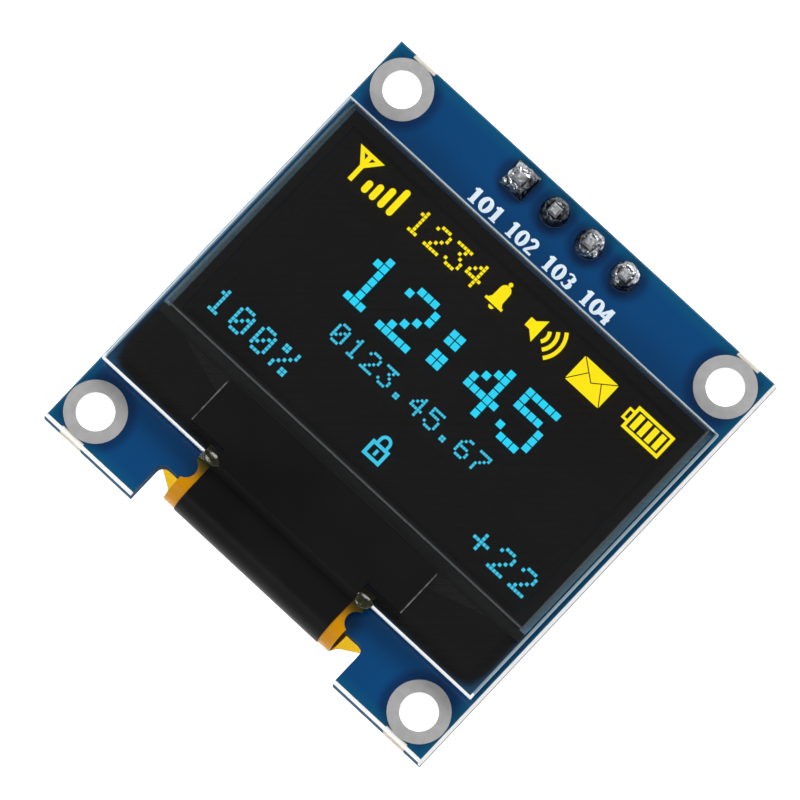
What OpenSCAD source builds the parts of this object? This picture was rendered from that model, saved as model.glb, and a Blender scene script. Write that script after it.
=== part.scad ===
// Small square display module: a thin glass display taped to the front of a
// blue circuit board, with its flexible circuit folded through a notch to a row
// of solder pads on the back, and a pin header along the top edge.
// The origin is the centre of the four mounting holes on the board's back face.
// +X is to the right and +Y up towards the header, seen from the display side.
// +Z points out of the display. All sizes are in millimetres.

/* [Circuit board] */
// Width of board that shows beside the glass, on each side
board_side = 0.3; // [0.1:0.1:3]
// Height of board above the glass, which carries the pin header
board_head = 4.3; // [4.1:0.05:8]
// Height of board below the glass
board_foot = 4.24; // [4:0.01:5]
// Thickness of the board
board_t = 1.6; // [0.8:0.1:2]
// Depth of the score that the board is snapped along, cut into its front edges
score_d = 0.6; // [0.3:0.05:0.7]
// Distance that the score draws in the front face
score_w = 0.16; // [0.1:0.01:0.17]
// Space beside the flexible circuit in the notch that it passes through
notch_side = 1.35; // [0.5:0.05:2]
// Depth of the notch from the bottom edge
notch_d = 2.5; // [2.2:0.1:3]
// Radius that the router leaves in the notch's inner corners
notch_r = 0.5; // [0.3:0.1:0.8]
// Thickness of copper and tin on every pad, ring and hole wall
plating_t = 0.05; // [0.03:0.01:0.07]

/* [Mounting holes] */
// Distance from the board's side edges to the hole centres
hole_side = 1.9; // [1.75:0.05:2.2]
// Distance from the board's top and bottom edges to the hole centres
hole_end = 2; // [1.75:0.05:2.3]
// Diameter of the plated hole that a screw passes through
hole_d = 2.1; // [1.8:0.1:2.4]
// Width of the ring of bare metal round each hole
ring_w = 0.675; // [0.4:0.025:0.75]

/* [Pin header] */
// Distance between neighbouring pins
pin_pitch = 2.54; // [2:0.01:3]
// Width of a square pin
pin_w = 0.64; // [0.5:0.01:0.7]
// Distance from the board's top edge to the row of pins
pin_edge = 1.3; // [1.3:0.05:1.5]
// Length of pin that stands clear of the insulator at the back
pin_reach = 6; // [4:0.5:9]
// Length of pin that stands above the front of the board
pin_tail = 1; // [0.9:0.05:1.5]
// Length of the chamfer at both ends of a pin
pin_chamfer = 0.2; // [0.1:0.05:0.3]
// Distance that the chamfer draws in each side of a pin
pin_draw = 0.12; // [0.08:0.01:0.16]
// Gap between a pin's corners and the wall of its plated hole
pin_clear = 0.05; // [0.03:0.01:0.1]
// Width of the land round a pin's plated hole
land_w = 0.32; // [0.25:0.01:0.4]
// Height of the insulator that spaces the pins
insulator_h = 2.54; // [1.5:0.01:3]
// Depth of the insulator, front to back of its row
insulator_d = 2.5; // [2:0.05:2.5]
// Size of the break-off chamfers between the insulator's cells
insulator_chamfer = 0.45; // [0.3:0.05:0.6]
// Height that the solder climbs up each pin above its pad
solder_climb = 0.72; // [0.5:0.02:0.8]
// Height of the solder at the rim of its pad
solder_rim = 0.06; // [0.04:0.01:0.1]
// Gap between a pin's corners and the top of its solder
solder_collar = 0.03; // [0.02:0.01:0.06]

/* [Display glass] */
// Width of the front glass
glass_w = 26.7; // [25:0.1:32]
// Height of the front glass, with the ledge at its lower end
glass_h = 19.26; // [17:0.02:24]
// Thickness of the front glass
glass_t = 0.65; // [0.5:0.05:0.8]
// Height of the ledge, where the front glass reaches past the rear glass
ledge_h = 3.96; // [3.5:0.02:4.4]
// Distance from the sides of the front glass in to the rear glass
cap_side = 0.25; // [0.1:0.05:0.5]
// Thickness of the rear glass
cap_t = 0.55; // [0.45:0.05:0.7]
// Depth of the cavity etched into the rear glass
cavity_depth = 0.3; // [0.25:0.05:0.35]
// Width of the glue frame that seals the two glasses
seal_w = 0.9; // [0.7:0.05:1]
// Thickness of the glue frame
seal_t = 0.05; // [0.04:0.01:0.08]
// Margin between the glue frame and the area that lights up
view_margin = 0.3; // [0.1:0.05:0.8]
// Thickness of the light-emitting layers
emitter_t = 0.03; // [0.02:0.01:0.04]
// Margin of the drying sheet inside its cavity
desiccant_margin = 1.8; // [1.5:0.1:3]
// Thickness of the drying sheet
desiccant_t = 0.2; // [0.1:0.05:0.22]
// Thickness of the polariser
polariser_t = 0.2; // [0.15:0.01:0.25]
// Bare glass on each side of the polariser
polariser_side = 0.45; // [0.2:0.05:0.8]
// Bare glass above the polariser
polariser_head = 0.1; // [0.05:0.05:0.3]
// Bare glass below the polariser
polariser_foot = 4.5; // [4:0.05:5]
// Radius of the polariser's corners
polariser_r = 0.2; // [0.1:0.05:0.6]

/* [Ledge and fixing tapes] */
// Thickness of the double-sided tape between board and rear glass
fixing_t = 0.2; // [0.15:0.05:0.4]
// Margin of that tape inside the rear glass
fixing_margin = 0.9; // [0.5:0.1:2]
// Margin of the black ledge pads inside the glass
ledge_margin = 0.15; // [0.1:0.05:0.8]
// Gap between the ledge pads and their neighbours
ledge_gap = 0.1; // [0.05:0.05:0.2]
// Length of the driver chip
driver_l = 6.76; // [6:0.02:8]
// Width of the driver chip
driver_w = 0.86; // [0.8:0.02:1]
// Height of the driver chip
driver_h = 0.3; // [0.2:0.02:0.4]
// Distance from the rear glass down to the driver chip
driver_drop = 1.1; // [0.8:0.1:1.4]

/* [Flexible circuit] */
// Width of the flexible circuit on the display side
flex_w = 12; // [10.5:0.1:13.5]
// Thickness of the flexible circuit
flex_t = 0.1; // [0.06:0.01:0.12]
// Length that is bonded under the ledge
bond_l = 0.6; // [0.5:0.05:1]
// Thickness of the conductive bonding film
film_t = 0.02; // [0.01:0.01:0.04]
// Distance from the notch to the centre of the bend
bend_clear = 0.1; // [0.05:0.05:0.3]
// Radius of the two scallops cut into its sides
scallop_r = 0.64; // [0.5:0.02:0.66]
// Distance of a scallop's centre outside the side edge
scallop_out = 0.18; // [0.1:0.02:0.3]
// Distance from the glass down to the scallops' centre
scallop_drop = 1.13; // [1.05:0.02:1.3]
// Margin of the flexible circuit beside its outer fingers, behind the board
wing_margin = 0.54; // [0.3:0.02:0.7]
// Distance from the bend's lowest line up to where the wings start
wing_start = 0.45; // [0.35:0.05:0.6]
// Slope of the wings' lower edges, in degrees
wing_slope = 32; // [30:1:38]
// Radius between a wing and the side of the bend
wing_r = 0.8; // [0.5:0.1:1.2]
// Radius of the upper corners behind the board
flex_corner_r = 0.4; // [0.2:0.1:0.6]
// Length of the run behind the board, from the bend's centre
rear_run = 4.6; // [4.2:0.1:5]
// Number of solder fingers
finger_count = 30; // [24:1:30]
// Distance between neighbouring fingers
finger_pitch = 0.62; // [0.55:0.01:0.68]
// Width of a finger's pad on the board
finger_w = 0.34; // [0.28:0.01:0.4]
// Length of a finger's pad under the flexible circuit
finger_in = 1; // [0.8:0.1:1.4]
// Length of a finger's pad beyond the flexible circuit
finger_out = 0.8; // [0.6:0.1:1.2]
// Thickness of solder between a pad and what is soldered to it
joint_t = 0.01; // [0.01:0.01:0.03]

/* [Light shield tape] */
// Thickness of the black tape
shield_t = 0.06; // [0.04:0.01:0.1]
// Distance that the tape's head reaches past the sides of its stem
head_side = 2.4; // [1:0.1:4]
// Distance from the glass's lower edge to the top of the head
head_top = 3.75; // [3.5:0.05:3.9]
// Distance from the glass's lower edge to the bottom of the head
head_low = 0.8; // [0.7:0.05:1]
// Radius of the head's upper corners
head_r = 0.3; // [0.2:0.05:0.5]
// Width of flexible circuit that shows beside the tape's stem
stem_side = 0.8; // [0.5:0.05:1.5]
// Length of the stem behind the board, from the bend's centre
stem_rear = 1; // [0.6:0.1:2]
// Length of the sloping resin between the glass edge and the flexible circuit
resin_l = 0.4; // [0.35:0.01:0.42]

/* [Rear parts] */
// Length of a chip resistor or capacitor
chip_l = 1.6; // [1.4:0.05:1.7]
// Width of a chip resistor or capacitor
chip_w = 0.8; // [0.7:0.05:0.9]
// Height of a chip resistor
resistor_h = 0.45; // [0.35:0.05:0.6]
// Height of a chip capacitor
capacitor_h = 0.8; // [0.6:0.05:0.9]
// Length of the metal end on a chip part
end_l = 0.3; // [0.2:0.05:0.4]
// Thickness of the metal end on a chip part
end_t = 0.02; // [0.02:0.01:0.05]
// Length of the regulator's body
regulator_l = 2.9; // [2.7:0.1:3.1]
// Width of the regulator's body
regulator_w = 1.3; // [1.2:0.05:1.4]
// Height of the regulator's body
regulator_h = 1; // [0.9:0.05:1.1]
// Distance between the regulator's two outer leads
regulator_pitch = 1.9; // [1.8:0.05:2]
// Length of the diode's body
diode_l = 1.7; // [1.5:0.05:1.8]
// Width of the diode's body
diode_w = 1.25; // [1.1:0.05:1.35]
// Height of the diode's body
diode_h = 0.9; // [0.8:0.05:1]
// Width of a lead
lead_w = 0.4; // [0.3:0.02:0.5]
// Thickness of a lead
lead_t = 0.12; // [0.08:0.01:0.15]
// Reach of a lead beyond its body
lead_reach = 0.55; // [0.5:0.05:0.7]
// Length of a lead's foot
lead_foot = 0.3; // [0.25:0.05:0.35]
// Overhang of a pad beyond the part that is soldered to it
pad_over = 0.35; // [0.3:0.05:0.45]
// Height that solder climbs the end of a chip resistor
resistor_climb = 0.27; // [0.15:0.01:0.3]
// Height that solder climbs the end of a chip capacitor
capacitor_climb = 0.4; // [0.2:0.05:0.5]
// Gap between a moulded body and what it is soldered to
body_gap = 0.1; // [0.05:0.01:0.15]
// Distance that a moulded body's sides lean in above and below its parting line
body_lean = 0.08; // [0.04:0.01:0.12]
// Distance between neighbouring parts in the row that stands upright
upright_pitch = 2.6; // [2.2:0.1:3]
// Distance between neighbouring parts in the row that lies flat
flat_pitch = 3; // [2.8:0.1:3.4]
// Distance from the flexible circuit's end up to the upright row
upright_rise = 4.3; // [3.5:0.1:5]
// Distance from the upright row up to the flat row
flat_rise = 3.8; // [2.6:0.1:4.2]
// Distance from the flat row up to the single resistor above it
single_rise = 2.2; // [1.6:0.1:3]
// Distance from the flat row up to the regulator and the diode
supply_rise = 4.2; // [3.4:0.1:4.6]
// Distance from the regulator up to its capacitor
store_rise = 3.2; // [2.9:0.1:3.4]
// Distance of the regulator and the diode from the board's middle
supply_x = 7.4; // [6.5:0.1:8.5]

/* [Hidden] */

// Facets on round features, and a length that is longer than any piece
$fn = 96;
beyond = 60;
// Overlap that lets a cutter pass cleanly through a face
cut = 0.1;
// Share of a pad's bare end that solder covers
toe_share = 0.8;
// Share of its length and height where a hollow fillet of solder is half way along
hollow_share = 1 / 3;

// Number of pins, and of chip parts of each kind
PIN_COUNT = 4;
HOLE_COUNT = 4;
CHIP_COUNT = 7;

// The board is drawn round the glass
board_w = glass_w + 2 * board_side;
board_h = board_head + glass_h + board_foot;
board_top = board_h / 2;
board_low = -board_h / 2;
notch_w = flex_w + 2 * notch_side;
notch_edge = board_low + notch_d;

// Holes and lands
hole_pitch_x = board_w - 2 * hole_side;
hole_pitch_y = board_h - 2 * hole_end;
ring_d = hole_d + 2 * ring_w;
pin_hole_d = pin_w * sqrt(2) + 2 * pin_clear;
pin_pad_d = pin_hole_d + 2 * land_w;

// Places of the header's pins, in a row along the top edge
pin_y = board_top - pin_edge;
function pin_x(i) = (i - (PIN_COUNT + 1) / 2) * pin_pitch;

// Corners of the hole pattern: 1 top left, 2 top right, 3 bottom left, 4 bottom right
function hole_x(i) = (i % 2 == 1 ? -1 : 1) * hole_pitch_x / 2;
function hole_y(i) = (i <= 2 ? 1 : -1) * hole_pitch_y / 2;

// Levels of the layers in front of the board
cap_z = board_t + fixing_t;
seal_z = cap_z + cap_t;
glass_z = seal_z + seal_t;
face_z = glass_z + glass_t;

// Edges and sizes of the glasses and what lies between them
glass_top = board_top - board_head;
glass_low = glass_top - glass_h;
cap_w = glass_w - 2 * cap_side;
cap_h = glass_h - ledge_h;
cap_low = glass_top - cap_h;
cavity_w = cap_w - 2 * seal_w;
cavity_h = cap_h - 2 * seal_w;
view_y = glass_top - cap_h / 2;
polariser_w = glass_w - 2 * polariser_side;
polariser_h = glass_h - polariser_head - polariser_foot;

// Levels behind the board: pads, then solder, then what is soldered to them
rear_pad_z = -plating_t;
rear_seat_z = rear_pad_z - joint_t;

// The bend of the flexible circuit, whose two runs lie at flex_top_z and flex_rear_z
flex_top_z = glass_z - film_t;
flex_rear_z = rear_seat_z - flex_t;
bend_r = (flex_top_z - flex_rear_z) / 2;
bend_z = (flex_top_z + flex_rear_z) / 2;
bend_y = notch_edge - bend_clear;
flex_end = bend_y + rear_run;
wing_w = (finger_count - 1) * finger_pitch + finger_w + 2 * wing_margin;

// Widths of the light shield tape
stem_w = flex_w - 2 * stem_side;
head_w = stem_w + 2 * head_side;

// Places of the rear parts, each as x, y and turn. The upright row is six
// capacitors with one resistor between them, and the flat row is five resistors.
upright_y = flex_end + upright_rise;
flat_y = upright_y + flat_rise;
supply_y = flat_y + supply_rise;
RESISTORS = [
    [0, upright_y, 90],
    for (place = [-2:2]) [place * flat_pitch, flat_y, 0],
    [0, flat_y + single_rise, 0]
];
CAPACITORS = [
    for (place = [-3, -2, -1, 1, 2, 3]) [place * upright_pitch, upright_y, 90],
    [-supply_x, supply_y + store_rise, 0]
];
REGULATOR = [-supply_x, supply_y, 0];
DIODE = [supply_x, supply_y, 0];

// ---- Shared shapes ----

// A flat plate centred on x and y, from level z up by thickness t
module plate(x, y, z, w, h, t) {
    translate([x - w / 2, y - h / 2, z]) cube([w, h, t]);
}

// Turns a profile drawn in y and z into a bar of length w centred across x
module bar(w) {
    rotate([90, 0, 90]) linear_extrude(w, center = true) children();
}

// A rectangle with rounded corners, centred
module round_plate(w, h, r) {
    square([w - 2 * r, h], center = true);
    square([w, h - 2 * r], center = true);
    for (x = [-1, 1], y = [-1, 1])
        translate([x * (w / 2 - r), y * (h / 2 - r)]) circle(r);
}

// Puts its children at the place of a rear part and turns them to face backwards
module behind(spot) {
    translate([spot[0], spot[1], rear_seat_z]) rotate([0, 180, spot[2]]) children();
}

// ---- Circuit board ----

module notch_outline() {
    straight_w = notch_w - 2 * notch_r;
    translate([-straight_w / 2, board_low - cut]) square([straight_w, notch_d + cut]);
    translate([-notch_w / 2, board_low - cut]) square([notch_w, notch_d + cut - notch_r]);
    for (side = [-1, 1])
        translate([side * straight_w / 2, notch_edge - notch_r]) circle(notch_r);
}

// Side view of the board over a width, with the score's slope at both front edges
module board_profile(w) {
    half_w = w / 2;
    polygon([
        [-half_w, 0], [half_w, 0], [half_w, board_t - score_d], [half_w - score_w, board_t],
        [score_w - half_w, board_t], [-half_w, board_t - score_d]
    ]);
}

module circuit_board() {
    color("royalblue")
        difference() {
            intersection() {
                rotate([90, 0, 0]) linear_extrude(board_h, center = true) board_profile(board_w);
                bar(board_w) board_profile(board_h);
            }
            translate([0, 0, -cut])
                linear_extrude(board_t + 2 * cut) {
                    notch_outline();
                    for (i = [1:HOLE_COUNT])
                        translate([hole_x(i), hole_y(i)]) circle(hole_d / 2 + plating_t);
                    for (i = [1:PIN_COUNT])
                        translate([pin_x(i), pin_y]) circle(pin_hole_d / 2 + plating_t);
                }
        }
}

// A plated hole: a land on each face, joined by the wall of the hole
module plated_hole(bore_d) {
    difference() {
        union() {
            translate([0, 0, -plating_t]) linear_extrude(plating_t) children();
            cylinder(h = board_t, d = bore_d + 2 * plating_t);
            translate([0, 0, board_t]) linear_extrude(plating_t) children();
        }
        translate([0, 0, -plating_t - cut]) cylinder(h = board_t + 2 * plating_t + 2 * cut, d = bore_d);
    }
}

module hole_ring(i) {
    color("silver")
        translate([hole_x(i), hole_y(i), 0])
            plated_hole(hole_d) circle(ring_d / 2);
}

// The land round a pin is square on pin 1 and round on the others
module pin_land(i, size) {
    if (i == 1) square(size, center = true);
    else circle(size / 2);
}

module header_pad(i) {
    color("silver")
        translate([pin_x(i), pin_y, 0])
            plated_hole(pin_hole_d) pin_land(i, pin_pad_d);
}

// ---- Pin header ----

insulator_z = rear_pad_z - insulator_h;
pin_low = insulator_z - pin_reach;
pin_top = board_t + pin_tail;
tip_w = pin_w - 2 * pin_draw;

// Side view of a pin, with both ends drawn in by a chamfer
module pin_profile() {
    polygon([
        [-tip_w / 2, pin_low], [tip_w / 2, pin_low],
        [pin_w / 2, pin_low + pin_chamfer], [pin_w / 2, pin_top - pin_chamfer],
        [tip_w / 2, pin_top], [-tip_w / 2, pin_top],
        [-pin_w / 2, pin_top - pin_chamfer], [-pin_w / 2, pin_low + pin_chamfer]
    ]);
}

module header_pin(i) {
    color("gold")
        translate([pin_x(i), pin_y, 0])
            intersection() {
                rotate([90, 0, 0]) linear_extrude(pin_w, center = true) pin_profile();
                bar(pin_w) pin_profile();
            }
}

// Row of chamfered cells, so that a strip can be broken between any two pins
module insulator_outline() {
    half_d = insulator_d / 2;
    waist_d = half_d - insulator_chamfer;
    for (i = [1:PIN_COUNT]) {
        left = pin_x(i) - pin_pitch / 2;
        right = pin_x(i) + pin_pitch / 2;
        polygon([
            [left, waist_d], [left + insulator_chamfer, half_d],
            [right - insulator_chamfer, half_d], [right, waist_d],
            [right, -waist_d], [right - insulator_chamfer, -half_d],
            [left + insulator_chamfer, -half_d], [left, -waist_d]
        ]);
    }
}

module header_body() {
    color("dimgray")
        translate([0, pin_y, insulator_z])
            linear_extrude(insulator_h)
                difference() {
                    insulator_outline();
                    for (i = [1:PIN_COUNT])
                        translate([pin_x(i), 0]) square(pin_w, center = true);
                }
}

// Solder wets the land, climbs the pin in a hollow curve and fills the plated hole
module solder_profile(rim_r) {
    top_r = pin_w / sqrt(2) + solder_collar;
    run = rim_r - top_r;
    rise = solder_climb - solder_rim;
    curve_r = (run * run + rise * rise) / (2 * run);
    difference() {
        square([rim_r, solder_climb]);
        translate([top_r + curve_r, solder_climb]) circle(curve_r);
    }
}

module solder_joint(i) {
    rim_r = i == 1 ? pin_pad_d / sqrt(2) : pin_pad_d / 2;
    land_z = board_t + plating_t;
    color("lightgray")
        translate([pin_x(i), pin_y, 0])
            difference() {
                union() {
                    translate([0, 0, land_z])
                        intersection() {
                            rotate_extrude() solder_profile(rim_r);
                            linear_extrude(solder_climb) pin_land(i, pin_pad_d);
                        }
                    translate([0, 0, rear_pad_z])
                        cylinder(h = land_z - rear_pad_z, d = pin_hole_d);
                }
                translate([-pin_w / 2, -pin_w / 2, -beyond / 2]) cube([pin_w, pin_w, beyond]);
            }
}

// ---- Display glass ----

module front_glass() {
    color("lightsteelblue", 0.5)
        plate(0, (glass_top + glass_low) / 2, glass_z, glass_w, glass_h, glass_t);
}

// The cavity in the rear glass faces the front glass and holds the drying sheet
module rear_glass() {
    color("slategray", 0.7)
        difference() {
            plate(0, view_y, cap_z, cap_w, cap_h, cap_t);
            plate(0, view_y, seal_z - cavity_depth, cavity_w, cavity_h, cavity_depth + cut);
        }
}

module panel_seal() {
    color("gray")
        difference() {
            plate(0, view_y, seal_z, cap_w, cap_h, seal_t);
            plate(0, view_y, seal_z - cut, cavity_w, cavity_h, seal_t + 2 * cut);
        }
}

module emitter_stack() {
    color("darkslateblue")
        plate(0, view_y, glass_z - emitter_t,
            cavity_w - 2 * view_margin, cavity_h - 2 * view_margin, emitter_t);
}

module desiccant_sheet() {
    color("ghostwhite")
        plate(0, view_y, seal_z - cavity_depth,
            cavity_w - 2 * desiccant_margin, cavity_h - 2 * desiccant_margin, desiccant_t);
}

module polariser() {
    color([0.11, 0.10, 0.10])
        translate([0, glass_top - polariser_head - polariser_h / 2, face_z])
            linear_extrude(polariser_t) round_plate(polariser_w, polariser_h, polariser_r);
}

module mounting_tape() {
    color("black")
        plate(0, view_y, board_t, cap_w - 2 * fixing_margin, cap_h - 2 * fixing_margin, fixing_t);
}

// Black pads that carry the ledge on both sides of the flexible circuit
module ledge_pad(side) {
    inner = flex_w / 2 + ledge_gap;
    outer = glass_w / 2 - ledge_margin;
    low = glass_low + ledge_margin;
    high = cap_low - ledge_gap;
    color("black")
        plate(side * (inner + outer) / 2, (low + high) / 2, board_t,
            outer - inner, high - low, glass_z - board_t);
}

// ---- Driver chip and bonding film ----

driver_y = cap_low - driver_drop - driver_w / 2;

module driver_chip() {
    color("dimgray")
        plate(0, driver_y, flex_top_z - driver_h, driver_l, driver_w, driver_h);
}

// One strip of film under the driver chip and one under the flexible circuit
module bonding_film() {
    color("peru") {
        plate(0, driver_y, flex_top_z, driver_l, driver_w, film_t);
        plate(0, glass_low + bond_l / 2, flex_top_z, flex_w, bond_l, film_t);
    }
}

// ---- Flexible circuit ----

// Side view of a strip that runs down, turns round the bend and comes back up,
// drawn from the bend's centre. It is t thick outside radius r.
module wrap_profile(r, t, front_run, rear_run) {
    intersection() {
        difference() {
            circle(r + t);
            circle(r);
        }
        translate([-beyond, -beyond / 2]) square([beyond, beyond]);
    }
    translate([0, r]) square([front_run, t]);
    translate([0, -r - t]) square([rear_run, t]);
}

// Half of the rear outline: the bend's own width, then a wing that widens to the
// full row of fingers, with a rounded inner corner where the wing starts
module wing_half() {
    start_y = bend_y - bend_r + wing_start;
    spread = (wing_w - flex_w) / 2;
    full_y = start_y + spread * tan(wing_slope);
    // The rounding touches the side at touch_y and the slope beyond the corner
    touch = wing_r * tan((90 - wing_slope) / 2);
    half_w = flex_w / 2;
    difference() {
        polygon([
            [0, bend_y - bend_r - cut], [half_w, bend_y - bend_r - cut],
            [half_w, start_y - touch],
            [half_w + touch * cos(wing_slope), start_y + touch * sin(wing_slope)],
            [wing_w / 2, full_y], [wing_w / 2, flex_end - flex_corner_r],
            [wing_w / 2 - flex_corner_r, flex_end - flex_corner_r],
            [wing_w / 2 - flex_corner_r, flex_end], [0, flex_end]
        ]);
        translate([half_w + wing_r, start_y - touch]) circle(wing_r);
    }
    translate([wing_w / 2 - flex_corner_r, flex_end - flex_corner_r]) circle(flex_corner_r);
}

// Outline of the run in front of the bend, with a scallop in each side
module front_outline() {
    run = glass_low + bond_l - bend_y + bend_r + cut;
    difference() {
        translate([-flex_w / 2, glass_low + bond_l - run]) square([flex_w, run]);
        for (side = [-1, 1])
            translate([side * (flex_w / 2 + scallop_out), glass_low - scallop_drop])
                circle(scallop_r);
    }
}

module flex_circuit() {
    color("goldenrod")
        intersection() {
            translate([0, bend_y, bend_z])
                bar(wing_w)
                    wrap_profile(bend_r - flex_t, flex_t, glass_low + bond_l - bend_y, rear_run);
            union() {
                translate([0, 0, bend_z]) linear_extrude(beyond / 2) front_outline();
                translate([0, 0, bend_z - beyond / 2]) linear_extrude(beyond / 2) {
                    wing_half();
                    mirror([1, 0]) wing_half();
                }
            }
        }
}

function finger_x(i) = (i - (finger_count + 1) / 2) * finger_pitch;

module flex_pads() {
    length = finger_in + finger_out;
    color("silver")
        for (i = [1:finger_count])
            plate(finger_x(i), flex_end - finger_in + length / 2, rear_pad_z,
                finger_w, length, plating_t);
}

// Each joint is a thin layer under the finger and a fillet up its cut end
module flex_solder() {
    toe = toe_share * finger_out;
    color("lightgray")
        for (i = [1:finger_count])
            translate([finger_x(i), flex_end, rear_pad_z])
                bar(finger_w)
                    polygon([
                        [-finger_in, 0], [toe, 0], [toe, -joint_t],
                        [toe * hollow_share, -joint_t - flex_t * hollow_share],
                        [0, -joint_t - flex_t],
                        [0, -joint_t], [-finger_in, -joint_t]
                    ]);
}

// ---- Light shield tape and resin ----

// Side view of the tape from the bend's centre: ledge, slope over the resin,
// flexible circuit, bend and rear run
module shield_profile() {
    edge = glass_low - bend_y;
    step = face_z - bend_z;
    wrap_profile(bend_r, shield_t, edge - resin_l, stem_rear);
    polygon([
        [edge - resin_l, bend_r], [edge, step], [edge + head_top, step],
        [edge + head_top, step + shield_t], [edge, step + shield_t],
        [edge - resin_l, bend_r + shield_t]
    ]);
}

// The tape is a T: a wide head on the ledge and a narrow stem down to the bend
module shield_outline() {
    head_h = head_top - head_low;
    translate([0, glass_low + head_low + head_h / 2]) {
        round_plate(head_w, head_h, head_r);
        translate([-head_w / 2, -head_h / 2]) square([head_w, head_h / 2]);
    }
    translate([-stem_w / 2, bend_y - 2 * bend_r])
        square([stem_w, glass_low + head_low + cut - bend_y + 2 * bend_r]);
}

module light_shield_tape() {
    color([0.08, 0.08, 0.08])
        intersection() {
            translate([0, bend_y, bend_z]) bar(head_w) shield_profile();
            translate([0, 0, -beyond / 2]) linear_extrude(beyond) shield_outline();
        }
}

// Clear resin that fills the corner between the glass edge and the flexible circuit
module edge_resin() {
    color("lightyellow", 0.6)
        translate([0, glass_low, 0])
            bar(flex_w)
                polygon([[0, flex_top_z], [0, face_z], [-resin_l, flex_top_z]]);
}

// ---- Rear parts, drawn on their backs: local z is the height above the solder ----

// A chip part's ceramic body, thinner where its metal ends wrap over it.
// A resistor's ends wrap three sides, and a capacitor's ends wrap five.
module chip_body(h, side_t) {
    plate(0, 0, end_t, chip_l - 2 * end_t, chip_w - 2 * side_t, h - 2 * end_t);
}

module chip_ends(h, side_t) {
    for (side = [-1, 1])
        difference() {
            plate(side * (chip_l - end_l) / 2, 0, 0, end_l, chip_w, h);
            chip_body(h, side_t);
        }
}

module resistor(i) {
    color([0.1, 0.1, 0.1]) behind(RESISTORS[i - 1]) chip_body(resistor_h, 0);
}

module capacitor(i) {
    color("peru") behind(CAPACITORS[i - 1]) chip_body(capacitor_h, end_t);
}

module resistor_ends() {
    color("lightgray")
        for (spot = RESISTORS)
            behind(spot) chip_ends(resistor_h, 0);
}

module capacitor_ends() {
    color("lightgray")
        for (spot = CAPACITORS)
            behind(spot) chip_ends(capacitor_h, end_t);
}

// A moulded body whose four sides lean in from a parting line at half height
module moulded_body(l, w, h) {
    intersection() {
        rotate([90, 0, 0]) linear_extrude(w, center = true) body_profile(l, h);
        bar(l) body_profile(w, h);
    }
}

// Side view of a moulded body of width w. The band at its middle is as thick as a lead.
module body_profile(w, h) {
    end = w / 2 - body_lean;
    low = (h - lead_t) / 2;
    high = (h + lead_t) / 2;
    polygon([
        [-end, body_gap], [end, body_gap], [w / 2, low], [w / 2, high],
        [end, h], [-end, h], [-w / 2, high], [-w / 2, low]
    ]);
}

// A gull-wing lead that leaves the body's side at y = 0 and half height
module lead(h) {
    mid = h / 2;
    knee = lead_reach - lead_foot;
    bar(lead_w)
        polygon([
            [0, mid + lead_t / 2], [knee, mid + lead_t / 2], [knee + lead_t, lead_t],
            [lead_reach, lead_t], [lead_reach, 0], [knee, 0],
            [knee - lead_t, mid - lead_t / 2], [0, mid - lead_t / 2]
        ]);
}

module regulator_body() {
    color([0.15, 0.15, 0.15]) behind(REGULATOR) moulded_body(regulator_l, regulator_w, regulator_h);
}

// Puts its children at the regulator's three leads: two on one side, one on the other
module regulator_spots() {
    for (side = [-1, 1])
        translate([side * regulator_pitch / 2, regulator_w / 2, 0]) children();
    rotate([0, 0, 180]) translate([0, regulator_w / 2, 0]) children();
}

module regulator_leads() {
    color("lightgray") behind(REGULATOR) regulator_spots() lead(regulator_h);
}

module diode_body() {
    color([0.15, 0.15, 0.15]) behind(DIODE) moulded_body(diode_l, diode_w, diode_h);
}

// Puts its children at the diode's two leads, one at each end
module diode_spots() {
    for (turn = [-90, 90])
        rotate([0, 0, turn]) translate([0, diode_l / 2, 0]) children();
}

module diode_leads() {
    color("lightgray") behind(DIODE) diode_spots() lead(diode_h);
}

// A pad under a metal end or foot of length l that reaches to y = reach
module rear_pad(reach, l, w) {
    translate([-w / 2, reach - l, -joint_t - plating_t]) cube([w, l + pad_over, plating_t]);
}

// Solder under that end or foot, with a fillet of height climb on its outer side
module rear_solder(reach, l, w, climb) {
    toe = toe_share * pad_over;
    bar(w)
        translate([reach, 0])
            polygon([
                [-l, -joint_t], [toe, -joint_t], [toe, 0],
                [toe * hollow_share, climb * hollow_share], [0, climb], [0, 0], [-l, 0]
            ]);
}

// Turns a feature that points along y to both ends of a chip part
module chip_spots() {
    for (turn = [-90, 90])
        rotate([0, 0, turn]) children();
}

module chip_pads() {
    color("silver") {
        for (spot = concat(RESISTORS, CAPACITORS))
            behind(spot) chip_spots() rear_pad(chip_l / 2, end_l, chip_w);
        behind(REGULATOR) regulator_spots() rear_pad(lead_reach, lead_foot, lead_w);
        behind(DIODE) diode_spots() rear_pad(lead_reach, lead_foot, lead_w);
    }
}

module chip_solder() {
    color("lightgray") {
        for (spot = RESISTORS)
            behind(spot) chip_spots() rear_solder(chip_l / 2, end_l, chip_w, resistor_climb);
        for (spot = CAPACITORS)
            behind(spot) chip_spots() rear_solder(chip_l / 2, end_l, chip_w, capacitor_climb);
        behind(REGULATOR) regulator_spots() rear_solder(lead_reach, lead_foot, lead_w, lead_t);
        behind(DIODE) diode_spots() rear_solder(lead_reach, lead_foot, lead_w, lead_t);
    }
}

// ---- The model ----

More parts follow.
